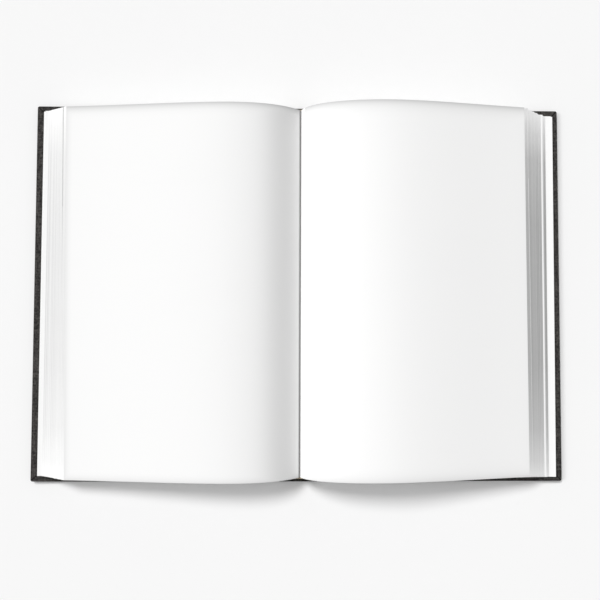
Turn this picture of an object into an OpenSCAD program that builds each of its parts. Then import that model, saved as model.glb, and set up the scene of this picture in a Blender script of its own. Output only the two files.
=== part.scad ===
/* [Leaves] */
// Width of a leaf from its fold to its fore-edge
page_w = 139.7; // [120:0.1:160]
// Height of a leaf from head to tail
page_h = 215.2; // [190:0.2:240]
// Sewn sections in each half of the opened block
sections = 6; // [3:1:9]
// Width over the folds of the block, on the spine side
fold_w = 22; // [18:0.5:24]
// How far the block sits off the middle of the case, towards the front cover
block_shift = 0.4; // [0:0.1:1.5]
// Place of the gutter, measured from the middle of the case
gutter_x = 0.9; // [-2:0.1:2]
// Height of the arched spine of the block above the flyleaves
spine_rise = 4.2; // [3:0.1:8]
// Depth of the glued folds below the bottom of the gutter
fold_depth = 1.5; // [1:0.1:3]
// Rounding of the folded edge of each section
fold_round = 0.35; // [0.1:0.05:0.6]

/* [Front half of the block] */
// Height of the front half at its fore-edge
front_edge_h = 10; // [7:0.1:13]
// Distance of the front crest from the gutter
front_crest_run = 41; // [36:0.5:50]
// Height of the front crest
front_crest_h = 20.4; // [16:0.1:22]
// Angle at which the top leaf leaves the gutter on the front half
front_gutter_angle = 45; // [35:1:50]
// Fall of the top leaf at the front fore-edge
front_edge_angle = 5; // [2:0.5:9]
// Lift of the lowest leaf beside the front joint
front_lift = 5.5; // [0:0.1:7]
// Sideways creep of the front top section towards the head
front_creep = 0.4; // [0:0.1:0.5]

/* [Back half of the block] */
// Height of the back half at its fore-edge
back_edge_h = 10.4; // [8:0.1:14]
// Distance of the back crest from the gutter
back_crest_run = 47; // [42:0.5:54]
// Height of the back crest
back_crest_h = 24.1; // [19:0.1:26]
// Angle at which the top leaf leaves the gutter on the back half
back_gutter_angle = 56; // [45:1:60]
// Fall of the top leaf at the back fore-edge
back_edge_angle = 9.5; // [5:0.5:13]
// Lift of the lowest leaf beside the back joint
back_lift = 5.5; // [0:0.1:7]
// Creep of the back sections, towards the tail at the bottom and the head at the top
back_creep = 0.5; // [0:0.1:0.5]
// Overhang of the section that stands proud at the back fore-edge
ledge_out = 0.8; // [0:0.1:1.5]

/* [Case] */
// Border of cover beyond the leaves at head and tail
square_h = 3.4; // [2.5:0.1:6]
// Border of cover beyond the flyleaf at the fore-edge
square_w = 4.1; // [2:0.1:6]
// Thickness of the cover boards
board_t = 2.5; // [1.5:0.1:3.5]
// Thickness of the book cloth
cloth_t = 0.4; // [0.3:0.05:0.6]
// Width of the cloth joint between board and spine
joint_w = 7; // [6:0.5:9]
// Width of the spine stiffener beyond the folds of the block
stiffener_ease = 0.5; // [0:0.1:3]
// Thickness of the spine stiffener
stiffener_t = 1.2; // [0.8:0.1:1.6]
// Height to which the cloth is pressed up in the joint
joint_lift = 1; // [0.6:0.1:1.2]
// Depth of the turned-in cloth
turn_in = 15; // [10:1:20]
// Rounding of the covered edges
edge_r = 0.8; // [0.5:0.1:1.2]
// Rounding of the cover corners in plan
corner_r = 1.1; // [1:0.1:3]
// Width of the open seam at the mitred corners
mitre_gap = 0.25; // [0.1:0.05:0.5]

/* [Linings] */
// Thickness of the endpapers
endpaper_t = 0.2; // [0.15:0.05:0.3]
// Flyleaf beyond the lowest leaf at the front fore-edge
flyleaf_out = 1.1; // [0:0.1:2]
// Thickness of the mull and of the band tabs
mull_t = 0.3; // [0.2:0.05:0.4]
// Gap between the mull and the band tabs, or the turned-in cloth
mull_gap = 2; // [1:0.5:10]
// Thickness of the spine lining paper
lining_t = 0.3; // [0.2:0.05:0.4]
// Distance from the lining's end to the end of the leaves
lining_short = 1; // [0.5:0.5:5]
// Height of the head and tail band rolls above the folds
band_h = 1; // [0.8:0.1:2]
// Thickness of the head and tail band rolls
band_w = 1; // [0.8:0.1:1.8]
// Length of the tabs that glue the bands to the spine
band_tab = 11; // [6:1:12]

/* [Clearance] */
// Gap in the joint cloth where a cover turns
joint_gap = 0.5; // [0.45:0.05:0.7]

/* [Hidden] */
$fn = 48;
front = -1;
back = 1;
cloth_color = [0.25, 0.24, 0.24];
board_color = [0.62, 0.58, 0.52];
paper_color = [0.97, 0.96, 0.94];
band_color = [0.75, 0.69, 0.58];
mull_color = [0.88, 0.85, 0.76];

cover_t = board_t + 2 * cloth_t;
cover_h = page_h + 2 * square_h;
stiffener_w = fold_w + stiffener_ease;
page_bed = cover_t + 2 * endpaper_t;
joint_in = stiffener_w / 2;
joint_out = joint_in + joint_w;
joint_x = (joint_in + joint_out) / 2;
flyleaf_end = block_shift + fold_w / 2 + page_w + flyleaf_out;
cover_end = flyleaf_end + square_w;
groove_steps = 8;
round_facets = 12;

// The top leaf is two curves that meet, level, at its crest
rise_steps = 12;
fall_steps = 14;
gutter_pull = 12;
crest_pull = 22;
edge_pull = 30;
fall_bow = 0.998;
lift_share = 0.36;
fade_share = 0.15;
gutter_z = page_bed + spine_rise + fold_depth;
ledge_section = 1;
step_out = 0.25;

function pick(side, a, b) = side == front ? a : b;
function lerp(a, b, u) = a + (b - a) * u;
function polar(r, a) = r * [cos(a), sin(a)];
function bezier(a, b, c, d, t) =
    a * (1 - t) ^ 3 + 3 * b * t * (1 - t) ^ 2 + 3 * c * t ^ 2 * (1 - t) + d * t ^ 3;
function run_to(points, i) = i == 0 ? 0 : run_to(points, i - 1) + norm(points[i] - points[i - 1]);
function reversed(points) = [for (i = [len(points) - 1 : -1 : 0]) points[i]];

function crest_run(side) = pick(side, front_crest_run, back_crest_run);
function crest_z(side) = page_bed + pick(side, front_crest_h, back_crest_h);
function edge_z(side) = page_bed + pick(side, front_edge_h, back_edge_h);
function lift(side) = pick(side, front_lift, back_lift);
function hidden_leaf(side) = pick(side, 0, fold_depth);
function shoulder_x(side) = side * fold_w / 2 - block_shift;

// Points of the top leaf, as [distance from the gutter, height]
function rise_points(side) =
    let (start = [0, gutter_z], crest = [crest_run(side), crest_z(side)],
         angle = pick(side, front_gutter_angle, back_gutter_angle))
    [for (i = [0 : rise_steps])
        bezier(start, start + polar(gutter_pull, angle), crest - [crest_pull, 0], crest, i / rise_steps)];
function fall_run(side) =
    let (left = page_w - hidden_leaf(side) - run_to(rise_points(side), rise_steps),
         drop = crest_z(side) - edge_z(side))
    fall_bow * sqrt(left ^ 2 - drop ^ 2);
function fall_points(side) =
    let (crest = [crest_run(side), crest_z(side)], tip = [crest[0] + fall_run(side), edge_z(side)],
         angle = 180 - pick(side, front_edge_angle, back_edge_angle))
    [for (i = [1 : fall_steps])
        bezier(crest, crest + [crest_pull, 0], tip + polar(edge_pull, angle), tip, i / fall_steps)];
function top_leaf(side) =
    [for (p = concat([[0, gutter_z - fold_depth]], rise_points(side), fall_points(side)))
        [gutter_x + side * p[0], p[1]]];

// A leaf at height share u: 0 is the lowest, 1 the top one
function low_point(side, f) =
    let (wave = lift_share * page_w, spent = lift(side) ^ 2 * PI ^ 2 / (4 * wave),
         hump = f < lift_share ? sin(180 * f / lift_share) ^ 2 : 0)
    [shoulder_x(side) + side * (page_w - spent) * f, page_bed + lift(side) * hump];
function leaf_points(side, u) =
    let (top = top_leaf(side), last = len(top) - 1, whole = run_to(top, last))
    [for (i = [0 : last])
        let (f = run_to(top, i) / whole, fade = max(0, 1 - f / fade_share) ^ 2)
        lerp(low_point(side, f), top[i], u) + [0, spine_rise * u * (1 - u) * fade]];
function spine_point(side, u) =
    [lerp(shoulder_x(side), gutter_x, u), page_bed + spine_rise * (1 - (1 - u) ^ 2)];
function creep(side, u) = pick(side, front_creep * u, back_creep * (2 * u - 1));
function proud(side, k) =
    k == ledge_section && side == back ? ledge_out : step_out * (1 + sin(90 * k + 45)) / 2;

// Outline from the sharp side of the fold, round it and out to the fore-edge
module section_outline(side, k) {
    low = leaf_points(side, k / sections);
    high = leaf_points(side, (k + 1) / sections);
    last = len(low) - 1;
    out = [side * proud(side, k), 0];
    polygon(concat(
        [spine_point(side, (k + 0.5) / sections)],
        [low[0] + (low[1] - low[0]) * fold_round / norm(low[1] - low[0])],
        [for (i = [1 : last]) low[i]],
        [low[last] + out, high[last] + out],
        reversed([for (i = [1 : last]) high[i]]),
        [high[0] + (high[1] - high[0]) * fold_round / norm(high[1] - high[0])]));
}

// Lays an outline in the plane across the spine and runs it from tail to head
module along_spine(length, y = 0) {
    translate([0, y + length / 2, 0]) rotate([90, 0, 0]) linear_extrude(length) children();
}

module text_block() {
    color(paper_color)
    for (side = [front, back], k = [0 : sections - 1])
        along_spine(page_h, creep(side, (k + 0.5) / sections)) section_outline(side, k);
}

// Band of constant height below and above the arched folds
function arch_points(offset) =
    concat([for (k = [0 : 2 * sections - 1]) spine_point(front, k / (2 * sections)) + [0, offset]],
           [for (k = [2 * sections : -1 : 0]) spine_point(back, k / (2 * sections)) + [0, offset]]);
module arch_band(low, high) {
    polygon(concat(arch_points(low), reversed(arch_points(high))));
}

module book_band(end) {
    tab_y = page_h / 2 - band_tab / 2;
    roll_y = page_h / 2 + back_creep + band_w / 2;
    tab_length = band_tab + back_creep;
    color(band_color) {
        along_spine(tab_length, end * (tab_y + back_creep / 2)) arch_band(-mull_t, 0);
        along_spine(band_w, end * roll_y) arch_band(-mull_t, band_h);
    }
}
module head_band() { book_band(1); }
module tail_band() { book_band(-1); }

// The mull follows the folds and lies down into both cloth joints
module mull_outline() {
    function foot(side) = [side * (joint_x - joint_gap), groove_z(joint_x - joint_gap) + cloth_t];
    function turn(side) = [(shoulder_x(side) + foot(side)[0]) / 2, foot(side)[1]];
    function heel(side) = turn(side) + [-side * mull_t, mull_t / 2];
    up = [0, mull_t];
    polygon(concat(
        [foot(front), turn(front), heel(front)], arch_points(-mull_t), [heel(back), turn(back), foot(back)],
        [foot(back) + up, turn(back) + up], reversed(arch_points(0)), [turn(front) + up, foot(front) + up]));
}
module spine_mull() {
    reach_y = min(page_h / 2 - band_tab, cover_h / 2 - turn_in) - mull_gap;
    color(mull_color) along_spine(2 * reach_y) mull_outline();
}
module spine_lining() {
    color(paper_color)
    along_spine(page_h - 2 * lining_short) arch_band(-mull_t - lining_t, -mull_t);
}

// Underside of the cloth across the joint, pressed up between board and spine
function groove_z(x) = joint_lift * sin(180 * (x - joint_in) / joint_w) ^ 2;
module groove_outline(x0, x1, low, high) {
    xs = [for (i = [0 : groove_steps]) lerp(x0, x1, i / groove_steps)];
    polygon(concat([for (x = xs) [x, groove_z(x) + low]],
                   reversed([for (x = xs) [x, groove_z(x) + high]])));
}
module groove_cloth(x0, x1) {
    along_spine(cover_h) groove_outline(x0, x1, 0, cloth_t);
    for (end = [-1, 1])
        along_spine(turn_in, end * (cover_h - turn_in) / 2) groove_outline(x0, x1, 0, 2 * cloth_t);
}

module rounded_rect(x0, y0, x1, y1, r) {
    for (x = [x0 + r, x1 - r], y = [y0 + r, y1 - r]) translate([x, y]) circle(r, $fn = round_facets);
    translate([x0 + r, y0]) square([x1 - x0 - 2 * r, y1 - y0]);
    translate([x0, y0 + r]) square([x1 - x0, y1 - y0 - 2 * r]);
}

module board_plan(inset, start) {
    r = corner_r - inset;
    intersection() {
        rounded_rect(0, inset - cover_h / 2, cover_end - inset, cover_h / 2 - inset, r);
        translate([start, -cover_h]) square([cover_end, 2 * cover_h]);
    }
}
module board(side) {
    color(board_color) mirror([side == front ? 1 : 0, 0, 0])
    translate([0, 0, cloth_t]) linear_extrude(board_t) board_plan(cloth_t, joint_out);
}
module front_board() { board(front); }
module back_board() { board(back); }

module cloth_envelope() {
    intersection() {
        linear_extrude(cover_t) board_plan(0, joint_out - cloth_t);
        along_spine(cover_h) rounded_rect(0, 0, cover_end, cover_t, edge_r);
        rotate([90, 0, 90]) linear_extrude(cover_end)
            rounded_rect(-cover_h / 2, 0, cover_h / 2, cover_t, edge_r);
    }
}
// Bare middle of the board and its inner edge, between the turned-in strips
module bare_board() {
    reach_y = cover_h / 2 - turn_in;
    translate([0, -reach_y, cloth_t + board_t])
        cube([cover_end - turn_in, 2 * reach_y, 2 * cloth_t]);
    translate([0, -reach_y, -cloth_t]) cube([joint_out, 2 * reach_y, 2 * cover_t]);
}
module mitre_seams() {
    seam = sqrt(2) * turn_in + 2 * mitre_gap;
    for (end = [-1, 1])
        translate([cover_end - turn_in, end * (cover_h / 2 - turn_in), cloth_t + board_t])
            rotate([0, 0, end * 45]) translate([-mitre_gap, -mitre_gap / 2, 0])
                cube([seam, mitre_gap, 2 * cloth_t]);
}
module cover_cloth(side) {
    color(cloth_color) mirror([side == front ? 1 : 0, 0, 0]) {
        difference() {
            cloth_envelope();
            translate([0, 0, cloth_t]) linear_extrude(board_t) board_plan(cloth_t, joint_out);
            bare_board();
            mitre_seams();
        }
        groove_cloth(joint_x + joint_gap / 2, joint_out);
    }
}
module front_cover_cloth() { cover_cloth(front); }
module back_cover_cloth() { cover_cloth(back); }

module spine_stiffener() {
    color(board_color)
    translate([-stiffener_w / 2, cloth_t - cover_h / 2, cloth_t])
        cube([stiffener_w, cover_h - 2 * cloth_t, stiffener_t]);
}
// Cloth under the stiffener, round its ends and turned in over it
module spine_outline() {
    spine_t = stiffener_t + 2 * cloth_t;
    difference() {
        rounded_rect(-cover_h / 2, 0, cover_h / 2, spine_t, min(edge_r, stiffener_t / 2));
        translate([cloth_t - cover_h / 2, cloth_t]) square([cover_h - 2 * cloth_t, stiffener_t]);
        translate([turn_in - cover_h / 2, cloth_t]) square([cover_h - 2 * turn_in, spine_t]);
    }
}
module spine_cloth() {
    color(cloth_color) {
        translate([-stiffener_w / 2, 0, 0]) rotate([90, 0, 90]) linear_extrude(stiffener_w) spine_outline();
        for (side = [0, 1]) mirror([side, 0, 0]) groove_cloth(joint_in, joint_x - joint_gap / 2);
    }
}

// Glued flat on the bare board, up over the turned-in cloth and down the inner edge of the board
module pastedown(side) {
    end_x = flyleaf_end;
    half_y = page_h / 2;
    low_z = cloth_t + board_t;
    sunk_x = cover_end - turn_in;
    sunk_y = cover_h / 2 - turn_in;
    color(paper_color) mirror([side == front ? 1 : 0, 0, 0])
    difference() {
        translate([joint_out - endpaper_t, -half_y, low_z - board_t / 2])
            cube([end_x - joint_out + endpaper_t, 2 * half_y, board_t / 2 + cloth_t + endpaper_t]);
        translate([joint_out, -cover_h / 2, 0]) cube([cover_end, cover_h, low_z]);
        for (end = [-1, 1])
            translate([0, end * (sunk_y + turn_in) - turn_in, 0])
                cube([cover_end, 2 * turn_in, cover_t]);
        translate([sunk_x, -cover_h / 2, 0]) cube([2 * turn_in, cover_h, cover_t]);
        translate([0, endpaper_t - sunk_y, low_z + endpaper_t])
            cube([sunk_x - endpaper_t, 2 * (sunk_y - endpaper_t), 2 * cloth_t]);
    }
}
module front_pastedown() { pastedown(front); }
module back_pastedown() { pastedown(back); }

module flyleaf(side) {
    x0 = abs(shoulder_x(side)) + fold_round;
    color(paper_color) mirror([side == front ? 1 : 0, 0, 0])
    translate([x0, -page_h / 2, cover_t + endpaper_t])
        cube([flyleaf_end - x0, page_h, endpaper_t]);
}
module front_flyleaf() { flyleaf(front); }
module back_flyleaf() { flyleaf(back); }

front_board();
back_board();
spine_stiffener();
front_cover_cloth();
back_cover_cloth();
spine_cloth();
front_pastedown();
back_pastedown();
front_flyleaf();
back_flyleaf();
text_block();
head_band();
tail_band();
spine_mull();
spine_lining();
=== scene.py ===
import math

import bmesh
import bpy
import numpy as np
from mathutils import Matrix, Vector


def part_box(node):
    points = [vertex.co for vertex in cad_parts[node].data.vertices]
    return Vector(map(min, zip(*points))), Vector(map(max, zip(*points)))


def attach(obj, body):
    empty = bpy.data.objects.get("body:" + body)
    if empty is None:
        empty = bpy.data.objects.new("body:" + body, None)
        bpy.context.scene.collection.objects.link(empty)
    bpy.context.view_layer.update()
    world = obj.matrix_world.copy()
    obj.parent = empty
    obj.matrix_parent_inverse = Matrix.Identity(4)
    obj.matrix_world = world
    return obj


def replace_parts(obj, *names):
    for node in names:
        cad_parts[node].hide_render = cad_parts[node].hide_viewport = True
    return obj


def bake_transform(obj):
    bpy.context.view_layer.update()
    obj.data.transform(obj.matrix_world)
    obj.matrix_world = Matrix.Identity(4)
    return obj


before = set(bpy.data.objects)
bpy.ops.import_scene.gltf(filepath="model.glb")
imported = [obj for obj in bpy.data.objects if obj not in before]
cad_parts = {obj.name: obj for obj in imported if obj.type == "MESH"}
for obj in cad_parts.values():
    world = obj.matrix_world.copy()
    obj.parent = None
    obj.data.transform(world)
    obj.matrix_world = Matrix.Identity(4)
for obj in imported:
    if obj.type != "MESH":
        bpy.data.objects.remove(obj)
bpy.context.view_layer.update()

MM = 0.001
rng = np.random.default_rng(23)


def node_box(node):
    """Low and high corner of a node's box, in millimetres."""
    return [np.array(corner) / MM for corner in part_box(node)]


# Sizes that come from the frame, in millimetres
board_low = node_box("back_board")[0]
cloth_low, cloth_high = node_box("back_cover_cloth")
spine_high = node_box("spine_cloth")[1]
stiffener_high = node_box("spine_stiffener")[1]
fly_low, fly_high = node_box("back_flyleaf")
cloth_t = board_low[2]
cover_t = cloth_high[2]
cover_h = cloth_high[1] - cloth_low[1]
cover_end = cloth_high[0]
joint_out = board_low[0]
joint_in = stiffener_high[0]
page_h = fly_high[1] - fly_low[1]
page_bed = fly_high[2]
fly_t = fly_high[2] - fly_low[2]

# Sizes of the block, as the part has them, but for the back half's steeper rise out of the gutter
page_w = 139.7
fold_w = 22.0
block_shift = 0.4
gutter_x = 0.9
spine_rise = 4.2
fold_depth = 1.5
gutter_z = page_bed + spine_rise + fold_depth
edge_pull = 30.0
fall_bow = 0.998
lift_share = 0.36
fade_share = 0.15
mull_t = 0.3
band_tab = 11.0
HALVES = {
    "front": dict(side=-1, crest_run=41.0, crest_h=20.4, crest_pull=22.0, gutter_angle=45.0,
                  gutter_pull=12.0, edge_h=10.0, edge_angle=5.0, lift=5.5, hidden=0.0),
    "back": dict(side=1, crest_run=47.0, crest_h=24.1, crest_pull=24.0, gutter_angle=70.0,
                 gutter_pull=13.0, edge_h=10.4, edge_angle=9.5, lift=5.5, hidden=0.2),
}

# Sizes of the covers' edges, corners and turn-ins, and of the seams at their corners
EDGE_R = 0.8
CORNER_R = 1.1
TURN_IN = 15.0
TUCK = 4.0
SEAM_R = 0.45
SEAM_DEEP = 0.38
JOINT_LIFT = 1.0

# How the leaves are gathered in each half
SECTIONS = 6
LEAVES = 16
LEAF_T = 0.09

# How the leaves of each half lie. The pairs are for the lowest and the highest leaf, and the fore-edge pair
# is the lightest and darkest darkening of a fore-edge: toning of the cut edges in the front half, and mostly
# painted shade in the back half, whose fore-edge is turned from the lamps. The rest is the top sheet's gape
# and painted shade and the flyleaf's reach and curl.
LIE = {
    "front": dict(creep=(0.05, -0.4), slant=(0.33, -1.2), edge_tone_and_shade=(0.17, 0.48), gape=0.17, side_rim=2.2,
                  side_dark=0.8, fold_dark=0.17, all_dark=0.05, fly_out=-0.7, fly_curl=0.3),
    "back": dict(creep=(-0.9, 1.5), slant=(0.27, -0.37), edge_tone_and_shade=(0.68, 1.0), gape=0.67, side_rim=4.0,
                 side_dark=0.1, fold_dark=0.0, all_dark=0.0, fly_out=0.3, fly_curl=0.8),
}
CREEP_BEND = 0.6
HEAD_SHIFT = 0.25

# Distance from tail or head, and how much of a sheet's fore-edge toning and painted shade is kept there:
# less near the ends, where the fore-edge is painted lighter, as a painted highlight in the back half
TAIL_EDGE_TONE_AND_SHADE = ((0, 0.15), (11.6, 0.5), (29.6, 0.8), (67.6, 1))
HEAD_EDGE_TONE_AND_SHADE = ((0, 0.1), (13.6, 0.5), (29.6, 0.85), (67.6, 1))

# How far the leaves stand out at the fore-edge: more towards the top, and in the back half the lowest
# share of them makes a ledge, with the others set back behind it
FRONT_FAN = 0.4
BACK_FAN = 0.45
LEDGE_OUT = 0.6
LEDGE_SHARE = 0.2


def bezier(a, b, c, d, t):
    """Points at t of the cubic curve from a to d, drawn by b and c."""
    t = t[:, None]
    return a * (1 - t) ** 3 + 3 * b * t * (1 - t) ** 2 + 3 * c * t ** 2 * (1 - t) + d * t ** 3


def polar(radius, degrees):
    return radius * np.array([math.cos(math.radians(degrees)), math.sin(math.radians(degrees))])


def run_along(points):
    """Length of the line up to each of its points."""
    steps = np.linalg.norm(np.diff(points, axis=0), axis=1)
    return np.concatenate([[0.0], np.cumsum(steps)])


def top_leaf(half, steps=60):
    """The upper leaf of a half as [x, z] points, from its fold over the crest to its fore-edge."""
    start = np.array([0.0, gutter_z])
    crest = np.array([half["crest_run"], page_bed + half["crest_h"]])
    t = np.linspace(0, 1, steps + 1)
    pull = np.array([half["crest_pull"], 0])
    rise = bezier(start, start + polar(half["gutter_pull"], half["gutter_angle"]), crest - pull, crest, t)
    left = page_w - half["hidden"] - run_along(rise)[-1]
    drop = half["crest_h"] - half["edge_h"]
    tip = crest + [fall_bow * math.sqrt(left ** 2 - drop ** 2), -drop]
    fall = bezier(crest, crest + pull, tip + polar(edge_pull, 180 - half["edge_angle"]), tip, t[1:])
    points = np.vstack([[0.0, gutter_z - fold_depth], rise, fall])
    return points * [half["side"], 1] + [gutter_x, 0]


def shoulder_x(half):
    """Where the folds of a half's lowest leaves lie on the spine."""
    return half["side"] * fold_w / 2 - block_shift


def leaf_points(half, u, share):
    """[x, z] points of leaves at height share u (an array as long as share, or one number)."""
    top = top_leaf(half)
    run = run_along(top) / run_along(top)[-1]
    high = np.column_stack([np.interp(share, run, top[:, 0]), np.interp(share, run, top[:, 1])])
    wave = lift_share * page_w
    spent = half["lift"] ** 2 * math.pi ** 2 / (4 * wave)
    hump = np.where(share < lift_share, np.sin(np.pi * share / lift_share) ** 2, 0)
    low = np.column_stack([shoulder_x(half) + half["side"] * (page_w - spent) * share,
                           page_bed + half["lift"] * hump])
    u = np.broadcast_to(u, share.shape)[:, None]
    fade = np.maximum(0, 1 - share / fade_share)[:, None] ** 2
    return low * (1 - u) + high * u + np.array([0, spine_rise]) * u * (1 - u) * fade


def level(y):
    """Places [x, z] points at y, as a station of a sweep."""
    return lambda points: np.column_stack([points[:, 0], np.full(len(points), y), points[:, 1]])


def offset_line(points, distance):
    """points moved sideways by distance, to the left of their run."""
    ahead = np.gradient(points, axis=0)
    ahead /= np.linalg.norm(ahead, axis=1)[:, None]
    return points + distance * np.column_stack([-ahead[:, 1], ahead[:, 0]])


class Shell:
    """Gathers closed thin bodies into one mesh."""

    def __init__(self):
        self.verts = []
        self.faces = []
        self.tones = []
        self.count = 0

    def add(self, verts, faces, tone=0.0):
        self.verts.append(verts)
        self.faces.extend([tuple(i + self.count for i in f) for f in faces])
        self.tones.append(np.broadcast_to(tone, (len(verts),)))
        self.count += len(verts)

    def tube(self, rings, tone=0.0):
        """Rings with the same number of points, joined one to the next and closed at both ends."""
        n = len(rings[0])
        faces = []
        for s in range(len(rings) - 1):
            for i in range(n):
                j = (i + 1) % n
                faces.append((s * n + i, s * n + j, (s + 1) * n + j, (s + 1) * n + i))
        for s in (0, len(rings) - 1):
            for i in range((n - 1) // 2):
                corners = dict.fromkeys((i, i + 1, n - 2 - i, n - 1 - i))
                faces.append(tuple(s * n + c for c in corners))
        self.add(np.vstack(rings), faces, tone)

    def sweep(self, outer, inner, stations, tone=0.0):
        """Two lines of the same length, carried through stations: functions of [x, z] that give [x, y, z]."""
        ring = np.vstack([outer, inner[::-1]])
        self.tube([place(ring) for place in stations], tone)

    def build(self, name, body, material, sharp=40.0):
        mesh = bpy.data.meshes.new(name)
        mesh.from_pydata((np.vstack(self.verts) * MM).tolist(), [], self.faces)
        mesh.validate()
        bm = bmesh.new()
        bm.from_mesh(mesh)
        bmesh.ops.recalc_face_normals(bm, faces=bm.faces)
        bm.to_mesh(mesh)
        bm.free()
        tone = mesh.attributes.new("tone", "FLOAT", "POINT")
        tone.data.foreach_set("value", np.concatenate(self.tones).astype(np.float32))
        mesh.polygons.foreach_set("use_smooth", [True] * len(mesh.polygons))
        mesh.set_sharp_from_angle(angle=math.radians(sharp))
        obj = bpy.data.objects.new(name, mesh)
        bpy.context.scene.collection.objects.link(obj)
        obj.data.materials.append(material)
        if body:
            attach(obj, body)
        return obj


class Nodes:
    """Short calls for building a material's nodes."""

    def __init__(self, name):
        self.material = bpy.data.materials.new(name)
        self.material.use_nodes = True
        self.tree = self.material.node_tree
        self.shader = self.tree.nodes["Principled BSDF"]
        self.coords = self.tree.nodes.new("ShaderNodeTexCoord").outputs["Object"]

    def link(self, source, socket):
        self.tree.links.new(source, socket)

    def _feed(self, node, values):
        for key, value in values.items():
            socket = node.inputs[key]
            if isinstance(value, bpy.types.NodeSocket):
                self.link(value, socket)
            else:
                socket.default_value = value

    def math(self, operation, a, b=0.0):
        node = self.tree.nodes.new("ShaderNodeMath")
        node.operation = operation
        self._feed(node, {0: a, 1: b})
        return node.outputs[0]

    def stretch(self, scale):
        node = self.tree.nodes.new("ShaderNodeMapping")
        self._feed(node, {"Vector": self.coords, "Scale": scale})
        return node.outputs[0]

    def noise(self, vector, scale, detail=2.0, rough=0.5):
        node = self.tree.nodes.new("ShaderNodeTexNoise")
        self._feed(node, {"Vector": vector, "Scale": scale, "Detail": detail, "Roughness": rough})
        return node.outputs["Fac"]

    def ramp(self, fac, stops):
        node = self.tree.nodes.new("ShaderNodeValToRGB")
        self.link(fac, node.inputs["Fac"])
        while len(node.color_ramp.elements) < len(stops):
            node.color_ramp.elements.new(0.5)
        for element, (place, color) in zip(node.color_ramp.elements, stops):
            element.position = place
            element.color = (*color, 1)
        return node.outputs["Color"]

    def mix(self, fac, a, b, blend="MIX"):
        node = self.tree.nodes.new("ShaderNodeMix")
        node.data_type = "RGBA"
        node.blend_type = blend
        for place, value in ((0, fac), (6, a), (7, b)):
            socket = node.inputs[place]
            if isinstance(value, bpy.types.NodeSocket):
                self.link(value, socket)
            else:
                socket.default_value = value if place == 0 else (*value, 1)
        return node.outputs[2]

    def bump(self, height, strength, distance):
        node = self.tree.nodes.new("ShaderNodeBump")
        self._feed(node, {"Height": height, "Strength": strength, "Distance": distance})
        return node.outputs[0]

    def split(self):
        node = self.tree.nodes.new("ShaderNodeSeparateXYZ")
        self.link(self.coords, node.inputs[0])
        return node.outputs

    def attribute(self, name):
        node = self.tree.nodes.new("ShaderNodeAttribute")
        node.attribute_name = name
        return node.outputs["Fac"]

    def finish(self, color, rough, normal=None, specular=0.3, sheen=0.0):
        self._feed(self.shader, {"Base Color": color, "Roughness": rough})
        if normal is not None:
            self.link(normal, self.shader.inputs["Normal"])
        self.shader.inputs["Specular IOR Level"].default_value = specular
        self.shader.inputs["Sheen Weight"].default_value = sheen
        return self.material


def book_cloth():
    """Plain-woven charcoal cloth: crossing threads, slubs and slight colour variation, and painted shade deep
    in the mitred seams from the tone attribute.
    """
    pitch = 0.42 * MM
    m = Nodes("book_cloth")
    turn = math.pi / pitch
    waves = [m.math("SINE", m.math("MULTIPLY", axis, turn)) for axis in m.split()]
    crossings = [m.math("MULTIPLY", waves[i - 1], waves[i]) for i in range(3)]
    weave = m.math("ADD", crossings[0], m.math("ADD", crossings[1], crossings[2]))
    warp = m.noise(m.stretch((220, 1100, 1100)), 1.0, 2.0)
    weft = m.noise(m.stretch((1100, 220, 1100)), 1.0, 2.0)
    slub = m.math("ADD", warp, weft)
    cloud = m.noise(m.coords, 35.0, 4.0)
    speck = m.noise(m.stretch((1000, 1000, 1000)), 1.0, 1.0)
    fleck = m.math("ADD", m.math("MULTIPLY", slub, 0.3), m.math("MULTIPLY", speck, 0.4))
    fleck = m.math("ADD", fleck, m.math("MULTIPLY", weave, 0.1))
    dark = m.ramp(fleck, [(0.4, (0.012, 0.0115, 0.0115)), (0.62, (0.092, 0.086, 0.081))])
    color = m.mix(m.math("MULTIPLY", cloud, 0.3), dark, (0.036, 0.034, 0.033))
    # The tone attribute darkens the cloth nearly to black deep in the mitred seams: painted shade in their
    # grooves.
    color = m.mix(m.attribute("tone"), color, (0.002, 0.002, 0.002))
    height = m.math("ADD", m.math("MULTIPLY", weave, 0.35), m.math("MULTIPLY", slub, 0.8))
    normal = m.bump(height, 0.55, 0.12 * MM)
    return m.finish(color, 0.9, normal, 0.1, 0.02)


def page_paper(name, base, edge_dark):
    """Uncoated paper: fibres, faint cloudiness, and a darkening from the tone attribute: toning of cut
    fore-edges, and painted shade on the back fore-edge, at the open pages' rims, in the gutter and beside the
    fold.
    """
    m = Nodes(name)
    fibre = m.noise(m.stretch((900, 1500, 900)), 1.0, 4.0, 0.6)
    cloud = m.noise(m.stretch((18, 70, 18)), 1.0, 3.0)
    dim = tuple(c * (1 - edge_dark) for c in base)
    # The tone attribute mixes in the dimmed colour: toning of cut edges, and painted shade.
    toned = m.mix(m.attribute("tone"), base, dim)
    shade = m.math("ADD", m.math("MULTIPLY", m.math("SUBTRACT", cloud, 0.5), 0.02),
                   m.math("MULTIPLY", m.math("SUBTRACT", fibre, 0.5), 0.03))
    grain = m.ramp(m.math("ADD", shade, 0.5), [(0.45, (0.95,) * 3), (0.5, (1.0,) * 3)])
    color = m.mix(1.0, toned, grain, "MULTIPLY")
    normal = m.bump(fibre, 0.12, 0.05 * MM)
    return m.finish(color, 0.82, normal, 0.2)


def grey_board():
    """Grey board pressed from waste paper, with darker fibres in it."""
    m = Nodes("grey_board")
    fibre = m.noise(m.stretch((500, 900, 2200)), 1.0, 5.0, 0.65)
    color = m.ramp(fibre, [(0.3, (0.21, 0.19, 0.16)), (0.7, (0.42, 0.385, 0.33))])
    return m.finish(color, 0.9, m.bump(fibre, 0.3, 0.1 * MM), 0.2)


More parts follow.
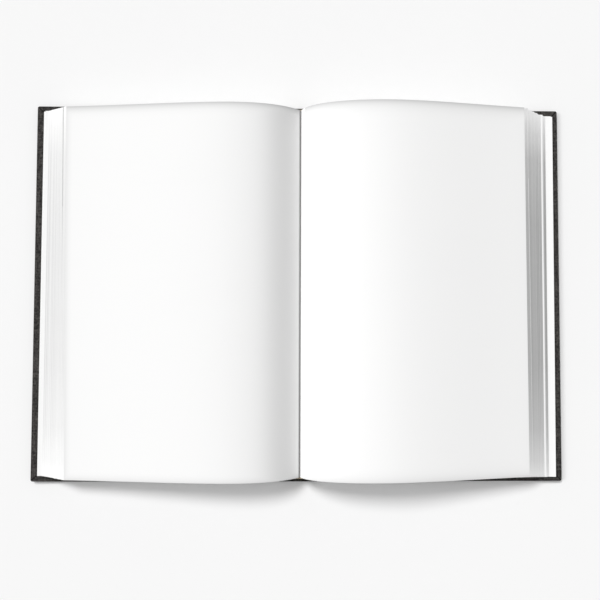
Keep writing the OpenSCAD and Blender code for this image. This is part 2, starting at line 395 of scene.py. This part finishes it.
def woven_mull():
    """Open starched gauze, as thread ridges on a pale ground."""
    pitch = 1.1 * MM
    m = Nodes("woven_mull")
    parts = m.split()
    turn = 2 * math.pi / pitch
    across = m.math("SINE", m.math("MULTIPLY", parts[0], turn))
    along = m.math("SINE", m.math("MULTIPLY", parts[1], turn))
    grid = m.math("MAXIMUM", across, along)
    raised = m.math("ADD", m.math("MULTIPLY", grid, 0.5), 0.5)
    color = m.ramp(raised, [(0.0, (0.42, 0.38, 0.3)), (0.5, (0.72, 0.68, 0.56))])
    return m.finish(color, 0.9, m.bump(grid, 0.5, 0.1 * MM), 0.2)


def lining_paper():
    """Ribbed kraft paper."""
    m = Nodes("lining_paper")
    fibre = m.noise(m.stretch((300, 1600, 300)), 1.0, 4.0)
    color = m.ramp(fibre, [(0.3, (0.4, 0.3, 0.19)), (0.7, (0.55, 0.44, 0.31))])
    return m.finish(color, 0.85, m.bump(fibre, 0.25, 0.06 * MM), 0.2)


def band_thread():
    """Cotton worked over a cord: the tone attribute runs over each wrap of thread, and the colour darkens
    where the wraps narrow, as painted shade between them.
    """
    m = Nodes("band_thread")
    fine = m.noise(m.stretch((3000, 700, 3000)), 1.0, 3.0)
    wrap = m.attribute("tone")
    color = m.ramp(m.math("ADD", m.math("MULTIPLY", wrap, 0.75), m.math("MULTIPLY", fine, 0.25)),
                   [(0.15, (0.3, 0.235, 0.15)), (0.8, (0.66, 0.56, 0.4))])
    return m.finish(color, 0.8, m.bump(fine, 0.3, 0.05 * MM), 0.25, 0.2)


CLOTH = book_cloth()
PAGE = page_paper("page_paper", (0.93, 0.93, 0.928), 0.64)
ENDPAPER = page_paper("endpaper", (0.91, 0.91, 0.908), 0.15)
BOARD = grey_board()
MULL = woven_mull()
LINING = lining_paper()
BAND = band_thread()


def gathered_gaps(count, first, least, spread):
    """Shares from first to 1 for count leaves: the least gap each, and the rest shared out unevenly."""
    section_gap = 2.5
    loose = rng.exponential(1.0, count - 1) ** spread
    loose[LEAVES - 1::LEAVES] *= section_gap
    gaps = least + loose / loose.sum() * (1 - first - least * (count - 1))
    return first + np.concatenate([[0.0], np.cumsum(gaps)])


def leaf_shares(half):
    """Height shares of every leaf at its fold, at its crest and at its fore-edge."""
    count = SECTIONS * LEAVES
    at_fold = (np.arange(count) + 0.5) / count
    at_crest = gathered_gaps(count, 0.0, LEAF_T * 1.15 / half["crest_h"], 1.0)
    at_edge = gathered_gaps(count, 0.25 / half["edge_h"], LEAF_T * 1.05 / half["edge_h"], 0.6)
    return at_fold, at_crest, at_edge


def blend_shares(fold, crest, edge, share):
    """One leaf's height share along its run: it swings from its fold's to its crest's, then to its edge's."""
    fold_end = 0.12
    crest_end = 0.3
    near = np.clip(share / fold_end, 0, 1)
    near = near ** 2 * (3 - 2 * near)
    far = np.clip((share - crest_end) / (1 - crest_end), 0, 1)
    return (fold * (1 - near) + crest * near) * (1 - far) + edge * far


def sheet_line(half, heights, outs, share):
    """Centre line of one folded sheet, from its lower leaf's fore-edge round the fold to its upper leaf's."""
    low, high = [leaf_points(half, u, share) + np.outer(out, [half["side"], 0])
                 for u, out in zip(heights, outs)]
    centre = (low[0] + high[0]) / 2
    spoke = low[0] - centre
    outward = (low[0] - low[1] + high[0] - high[1])
    outward *= np.linalg.norm(spoke) / np.linalg.norm(outward)
    angles = np.linspace(0, np.pi, 9)[1:-1, None]
    fold = centre + np.cos(angles) * spoke + np.sin(angles) * outward
    return np.vstack([low[::-1], fold, high])


# Shares of a leaf's run at which it has points, closer together near the fold
fold_share = 0.95 / page_w
LEAF_SHARE = fold_share + (1 - fold_share) * np.concatenate(
    [np.linspace(0, 0.3, 20)[:-1], np.linspace(0.3, 0.996, 21), [1.0]])
TOP_SHARE = fold_share + (1 - fold_share) * np.concatenate(
    [np.linspace(0, 0.35, 50)[:-1], np.linspace(0.35, 1, 50)])


def station(key, u, y, jitter=(0.0, 0.0)):
    """Places [x, z] points of a leaf at y: the leaves of the opened block lie a little askew and fan out."""
    pairs = (LIE[key]["creep"], LIE[key]["slant"])
    creep, slant = [low * (1 - u) + high * u + more for (low, high), more in zip(pairs, jitter)]

    def place(points):
        away = np.clip(np.abs(points[:, 0] - gutter_x) / page_w, 0, 1)
        x = points[:, 0] + slant * away * (2 * y / page_h)
        return np.column_stack([x, y + HEAD_SHIFT + creep * away ** CREEP_BEND, points[:, 1]])
    return place


def ledge(key, edge, share):
    """How far a leaf stands out at its fore-edge: in the back half the lowest leaves make a ledge."""
    if key == "front":
        out = FRONT_FAN * edge
    elif edge < LEDGE_SHARE:
        out = LEDGE_OUT * edge / LEDGE_SHARE
    else:
        out = BACK_FAN * edge - LEDGE_OUT
    return out * share ** 2


def leaves(key):
    """All the sheets of one half but the topmost."""
    half = HALVES[key]
    fold, crest, edge = leaf_shares(half)
    tail = [(d - page_h / 2, tone) for d, tone in TAIL_EDGE_TONE_AND_SHADE]
    head = [(page_h / 2 - d, tone) for d, tone in HEAD_EDGE_TONE_AND_SHADE]
    ys, tone_and_shade_along = np.array(tail + head[::-1]).T
    shell = Shell()
    for section in range(SECTIONS):
        for j in range(LEAVES // 2):
            lower = section * LEAVES + j
            upper = section * LEAVES + LEAVES - 1 - j
            if upper == SECTIONS * LEAVES - 1:
                continue
            shares = [blend_shares(fold[i], crest[i], edge[i], LEAF_SHARE) for i in (lower, upper)]
            outs = [ledge(key, edge[i], LEAF_SHARE) for i in (lower, upper)]
            line = sheet_line(half, shares, outs, LEAF_SHARE)
            u = (lower + upper) / 2 / (SECTIONS * LEAVES)
            jitter = rng.normal(0, 0.06, 2)
            trim = rng.normal(0, 0.05, 2)
            cut = ys + np.concatenate([trim[:1], np.zeros(len(ys) - 2), trim[1:]])
            # Each sheet's fore-edge is darkened: toning of the cut edges in the front half, mostly painted
            # shade in the back half, painted lighter towards the tail and head.
            fore_edge_darkening = np.zeros(2 * len(line))
            fore_edge_darkening[[0, len(line) - 1, len(line), -1]] = rng.uniform(*LIE[key]["edge_tone_and_shade"])
            shell.sweep(offset_line(line, LEAF_T / 2), offset_line(line, -LEAF_T / 2),
                        [station(key, u, y, jitter) for y in cut], np.outer(tone_and_shade_along, fore_edge_darkening).ravel())
    return shell.build(key + "_leaves", "block", PAGE)


def sheet_painted_shade(lie, gone, y):
    """Painted shade on the open page at y, for points gone from the gutter: darker at its head and tail rims,
    along its fore-edge, in the fold's slit, beside its fold, and evenly over it by all_dark.
    """
    rim = 2.4
    rim_dark = 0.6 if y > 0 else 0.3
    stub = 0.75
    fold_at = 12.0
    fold_wide = 9.0
    # Painted shade along the fore-edge, and full painted shade in the fold's slit, closer than stub to the
    # gutter.
    side = np.maximum(lie["side_dark"] * np.exp(-(gone.max() - gone) / lie["side_rim"]), gone < stub)
    # Painted shade beside the fold, over an even painted shade on the whole page.
    fold = lie["all_dark"] + lie["fold_dark"] * np.exp(-((gone - fold_at) / fold_wide) ** 2)
    # Painted shade along the head and tail rims, darker at the head.
    return np.maximum(np.maximum(side, fold), rim_dark * math.exp((abs(y) - page_h / 2) / rim))


def top_sheet(key):
    """The sheet whose upper leaf is the open page; its fold leaves the gutter a little open."""
    half = HALVES[key]
    lie = LIE[key]
    count = SECTIONS * LEAVES
    under = 1 - 1.0 / SECTIONS
    low = blend_shares((count - LEAVES + 0.5) / count, under, under, TOP_SHARE)
    high = blend_shares((count - 0.5) / count, 1.0, 1.0, TOP_SHARE)
    deep = TOP_SHARE * page_w
    widest = 2.0
    closed = 8.0
    gape = lie["gape"] * np.clip(deep / widest, 0.3, 1) * np.clip((closed - deep) / (closed - widest), 0, 1)
    outs = [ledge(key, under, TOP_SHARE), ledge(key, 1.0, TOP_SHARE) + gape]
    line = sheet_line(half, [low, high], outs, TOP_SHARE)
    outer = offset_line(line, LEAF_T / 2)
    inner = offset_line(line, -LEAF_T / 2)
    steps = np.array([0, 1, 2, 3.5, 5, 7.5, 11, 20])
    ys = np.concatenate([steps - page_h / 2, [-60, 0, 60], page_h / 2 - steps[::-1]])
    gone = np.abs(np.vstack([outer, inner[::-1]])[:, 0] - gutter_x)
    # The tones are painted shade on the open page.
    tones = [sheet_painted_shade(lie, gone, y) for y in ys]
    shell = Shell()
    shell.sweep(outer, inner, [station(key, 1.0, y) for y in ys], np.concatenate(tones))
    return shell.build(key + "_top_sheet", "block", PAGE)


def flyleaf(key):
    """Heavier blank leaf under the block, lying on the pastedown and curling up a little at its fore-edge."""
    half = HALVES[key]
    clear = 0.35
    curl_w = 12.0
    xs = np.linspace(abs(shoulder_x(half)) + clear, fly_high[0] + LIE[key]["fly_out"], 60)
    curl = LIE[key]["fly_curl"] * np.clip((xs - xs[-1] + curl_w) / curl_w, 0, 1) ** 2
    line = np.column_stack([half["side"] * xs, page_bed - fly_t / 2 + curl])
    shell = Shell()
    shell.sweep(offset_line(line, fly_t * 0.45), offset_line(line, -fly_t * 0.45),
                [station(key, 0.0, y) for y in np.linspace(-page_h / 2, page_h / 2, 9)])
    return shell.build(key + "_flyleaf_sheet", "block", ENDPAPER)


def cover_rings(outer):
    """Profile of the wrapped cloth as (inset, height, seam share), outside or inside face."""
    r = EDGE_R if outer else EDGE_R - cloth_t
    points = []
    flat_end = cover_t - (0 if outer else cloth_t)
    base = 0 if outer else cloth_t
    points.append((TURN_IN + TUCK, base, 0))
    points.append((EDGE_R + 1.5, base, 0))
    for a in np.linspace(270, 180, 7):
        points.append((EDGE_R + r * math.cos(math.radians(a)), EDGE_R + r * math.sin(math.radians(a)), 0))
    for a in np.linspace(180, 90, 7):
        points.append((EDGE_R + r * math.cos(math.radians(a)),
                       cover_t - EDGE_R + r * math.sin(math.radians(a)), (180 - a) / 90))
    points.append((EDGE_R + 1.2, flat_end, 1))
    points.append((TURN_IN - 0.3, flat_end, 1))
    points.append((TURN_IN, flat_end - (0.15 if outer else 0), 1))
    return points


def cover_ring(side, inset, height, seam, outer):
    """One ring round the three free edges, from the joint at the head to the joint at the tail."""
    r = max(CORNER_R - inset, SEAM_R)
    x1 = cover_end - inset
    y1 = cover_h / 2 - inset
    points = [(joint_out, y1, 0.0), ((joint_out + x1) / 2, y1, 0.0)]
    for a in np.linspace(90, 0, 7):
        dip = seam * SEAM_DEEP * math.sin(math.radians(2 * a)) if outer else 0.0
        points.append((x1 - r + r * math.cos(math.radians(a)), y1 - r + r * math.sin(math.radians(a)), dip))
    points.append((x1, 0.0, 0.0))
    low = [(x, -y, dip) for x, y, dip in reversed(points[:-1])]
    return np.array([(side * x, y, height - dip) for x, y, dip in points + low])


def ring_dips(profile):
    """How deep each point of a ring lies in the mitred seam, from 0 to 1."""
    ring = cover_ring(1, *profile, True)
    return (profile[1] - ring[:, 2]) / SEAM_DEEP


def turned_wall(side, end):
    """The cloth's turned-in edge beside the joint, as rings from the turn-in's depth to the rim."""
    low = 0.3
    bevel = 0.15
    over = joint_out + 0.5
    flat = joint_out - cloth_t
    rings = []
    for deep, back in ((TURN_IN, flat), (0.3, flat), (0.1, joint_out - 0.05)):
        y = end * (cover_h / 2 - deep)
        face = [(back, low), (back, cover_t - bevel), (back + bevel, cover_t)]
        rings.append(np.array([(side * x, y, z) for x, z in face + [(over, cover_t), (over, low)]]))
    return rings


def case_cloth(key):
    """Cloth of one cover: a sheet under the board, round its edges, turned in and mitred at the corners."""
    side = HALVES[key]["side"]
    outer = [cover_ring(side, *p, True) for p in cover_rings(True)]
    inner = [cover_ring(side, *p, False) for p in cover_rings(False)]
    n = len(outer)
    m = len(outer[0])
    verts = np.vstack(outer + inner)
    faces = []
    for k in range(n - 1):
        for i in range(m - 1):
            for base in (0, n * m):
                a = base + k * m + i
                faces.append((a, a + 1, a + m + 1, a + m))
    for i in range(m - 1):
        a = (n - 1) * m + i
        faces.append((a, a + 1, a + 1 + n * m, a + n * m))
    for k in range(n - 1):
        for i in (0, m - 1):
            a = k * m + i
            faces.append((a, a + m, a + m + n * m, a + n * m))
    faces.append(tuple(range(m)))
    faces.append(tuple(range(n * m, n * m + m)))
    faces.append((0, m - 1, n * m + m - 1, n * m))
    shell = Shell()
    # The tone is each point's depth in the mitred seam, which the cloth turns into painted shade.
    shell.add(verts, faces, np.tile(np.concatenate([ring_dips(p) for p in cover_rings(True)]), 2))
    for end in (1, -1):
        shell.tube(turned_wall(side, end))
    obj = shell.build(key + "_case_cloth", key + "_cover", CLOTH, 50.0)
    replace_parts(obj, key + "_cover_cloth")


def joint_height(x):
    """Height of the cloth's underside across a joint."""
    return JOINT_LIFT * np.sin(np.pi * np.clip((x - joint_in) / (joint_out - joint_in), 0, 1)) ** 2


def joint_cloth(key):
    """The strip that bends between spine and cover, doubled where it is turned in at head and tail."""
    side = HALVES[key]["side"]
    xs = np.linspace(joint_in, joint_out, 29)
    under = np.column_stack([side * xs, joint_height(xs)])
    fold = 0.25
    step = 0.3
    half_h = cover_h / 2
    ends = [(half_h, 1.7), (half_h - fold, 2.0), (half_h - TURN_IN, 2.0), (half_h - TURN_IN - step, 1.0)]
    rings = []
    for y, layers in [(-y, layers) for y, layers in ends] + ends[::-1]:
        over = under + [0, cloth_t * layers]
        rings.append(level(y)(np.vstack([under, over[::-1]])))
    shell = Shell()
    shell.tube(rings)
    obj = shell.build(key + "_joint_cloth", None, CLOTH, 50.0)
    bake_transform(obj)
    return obj


def spine_case():
    """Cloth of the spine, turned in over the ends of its stiffener and rounded there into caps."""
    flat = spine_high[2]
    cap_h = 3.0
    cap_r = 0.65
    cap_in = 2.0
    flat_in = 3.4
    end_y = cover_h / 2 + 0.15

    def turn(r, centre_z, inset, angles):
        rays = np.radians(angles)
        return list(zip(r - (r - inset) * np.sin(rays), centre_z - (r - inset) * np.cos(rays)))

    def whole_line(inset):
        low = turn(EDGE_R, EDGE_R, inset, np.linspace(0, 90, 7))
        high = turn(cap_r, cap_h - cap_r, inset, np.linspace(90, 180, 7))
        top = [(cap_in, (flat + cap_h) / 2 - inset), (flat_in, flat - inset), (TURN_IN, flat - inset)]
        half = [(end_y - d, z) for d, z in [(TURN_IN + TUCK, inset)] + low + high + top]
        return np.array(half[::-1] + [(-y, z) for y, z in half])

    def beside(x):
        return lambda points: np.column_stack([np.full(len(points), x), points])

    shell = Shell()
    shell.sweep(whole_line(0), whole_line(cloth_t * 0.98), [beside(x) for x in (-joint_in, 0, joint_in)])
    obj = shell.build("spine_case_cloth", "block", CLOTH, 50.0)
    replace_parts(obj, "spine_cloth")


def spine_point(half, u):
    """Fold of a leaf at height share u, as [x, z]."""
    return np.array([shoulder_x(half) * (1 - u) + gutter_x * u, page_bed + spine_rise * (1 - (1 - u) ** 2)])


def book_band(name, end):
    """Thread-covered cord along the folds, with its tab under the leaves."""
    arch = np.array([spine_point(HALVES["front"], u) for u in np.linspace(0, 1, 60)]
                    + [spine_point(HALVES["back"], u) for u in np.linspace(1, 0, 60)[1:]])
    run = run_along(arch)
    wraps = 34
    steps = 4 * wraps
    at = np.linspace(0, run[-1], steps + 1)
    line = np.column_stack([np.interp(at, run, arch[:, 0]), np.interp(at, run, arch[:, 1])])
    ahead = np.gradient(line, axis=0)
    ahead /= np.linalg.norm(ahead, axis=1)[:, None]
    up = np.column_stack([-ahead[:, 1], ahead[:, 0]])
    roll = 0.35 if end > 0 else 0.5
    clear = 0.08
    raised = 0.05
    y0 = end * (page_h / 2 + clear + roll) + HEAD_SHIFT
    centre = line + up * raised
    angles = np.linspace(0, 2 * math.pi, 12, endpoint=False)
    swells = 0.5 + 0.5 * np.cos(np.arange(steps + 1) * math.pi / 2)
    rings = []
    for i, swell in enumerate(swells):
        r = roll * (0.9 + 0.1 * swell)
        points = centre[i] + np.outer(np.sin(angles), up[i] * r)
        rings.append(np.column_stack([points[:, 0], y0 + end * r * np.cos(angles), points[:, 1]]))
    shell = Shell()
    # Each wrap's swell is also its tone, which paints shade between the wraps.
    shell.tube(rings, np.repeat(swells, len(angles)))
    tab = offset_line(line, -mull_t)
    shell.sweep(line, tab, [level(end * (page_h / 2 - band_tab)), level(y0)], 0.7)
    obj = shell.build(name + "_worked", "block", BAND)
    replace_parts(obj, name)


def dress(node, material):
    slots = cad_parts[node].data.materials
    for i in range(len(slots)):
        slots[i] = material


def stage_and_light():
    floor_mesh = bpy.data.meshes.new("floor")
    reach = 4.0
    low = -0.08 * MM
    corners = [(-reach, -reach, low), (reach, -reach, low), (reach, reach, low), (-reach, reach, low)]
    floor_mesh.from_pydata(corners, [], [(0, 1, 2, 3)])
    floor = bpy.data.objects.new("floor", floor_mesh)
    bpy.context.scene.collection.objects.link(floor)
    m = Nodes("floor_paint")
    cloud = m.noise(m.coords, 3.0, 2.0)
    color = m.ramp(cloud, [(0.3, (0.908, 0.908, 0.908)), (0.7, (0.912, 0.912, 0.912))])
    floor_mesh.materials.append(m.finish(color, 0.9, specular=0.1))

    world = bpy.data.worlds.new("studio")
    world.use_nodes = True
    tree = world.node_tree
    light = tree.nodes["Background"]
    light.inputs["Color"].default_value = (1, 1, 1, 1)
    light.inputs["Strength"].default_value = 0.305
    backdrop = tree.nodes.new("ShaderNodeBackground")
    backdrop.inputs["Color"].default_value = (0.94, 0.94, 0.94, 1)
    seen = tree.nodes.new("ShaderNodeLightPath").outputs["Is Camera Ray"]
    choose = tree.nodes.new("ShaderNodeMixShader")
    for source, socket in ((seen, 0), (light.outputs[0], 1), (backdrop.outputs[0], 2)):
        tree.links.new(source, choose.inputs[socket])
    tree.links.new(choose.outputs[0], tree.nodes["World Output"].inputs["Surface"])
    bpy.context.scene.world = world

    soft_lamp("side_light", (-0.76, 0.05, 0.65), 0.9, 22)
    soft_lamp("head_light", (-0.37, 0.53, 0.83), 2.15, 18)


def soft_lamp(name, toward, energy, spread):
    lamp = bpy.data.lights.new(name, "SUN")
    lamp.energy = energy
    lamp.angle = math.radians(spread)
    obj = bpy.data.objects.new(name, lamp)
    obj.rotation_euler = Vector(toward).to_track_quat("Z", "Y").to_euler()
    bpy.context.scene.collection.objects.link(obj)


def photo_camera():
    """The photograph's view: nearly straight down, a little from the tail and from the left."""
    focal_px = 671.0
    frame_px = 600.0
    place = Vector((-7.18, -21.26, 401.59)) * MM
    pitch, roll, yaw = 0.0425, -0.0201, 0.0030
    turn = Matrix.Rotation(yaw, 3, "Z") @ Matrix.Rotation(roll, 3, "Y") @ Matrix.Rotation(pitch, 3, "X")
    data = bpy.data.cameras.new("photo_camera")
    data.sensor_width = 36.0
    data.sensor_fit = "HORIZONTAL"
    data.lens = data.sensor_width * focal_px / frame_px
    data.clip_start = 0.01
    camera = bpy.data.objects.new("photo_camera", data)
    camera.matrix_world = Matrix.Translation(place) @ turn.to_4x4()
    bpy.context.scene.collection.objects.link(camera)
    bpy.context.scene.camera = camera


stage_and_light()
photo_camera()
for key in HALVES:
    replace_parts(leaves(key), "text_block")
    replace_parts(top_sheet(key), "text_block")
    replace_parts(flyleaf(key), key + "_flyleaf")
    case_cloth(key)
    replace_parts(joint_cloth(key), key + "_cover_cloth")
    dress(key + "_board", BOARD)
    dress(key + "_pastedown", ENDPAPER)
spine_case()
book_band("head_band", 1)
book_band("tail_band", -1)
dress("spine_stiffener", BOARD)
dress("spine_mull", MULL)
dress("spine_lining", LINING)

bpy.context.scene.view_settings.view_transform = "Standard"

bpy.context.view_layer.update()
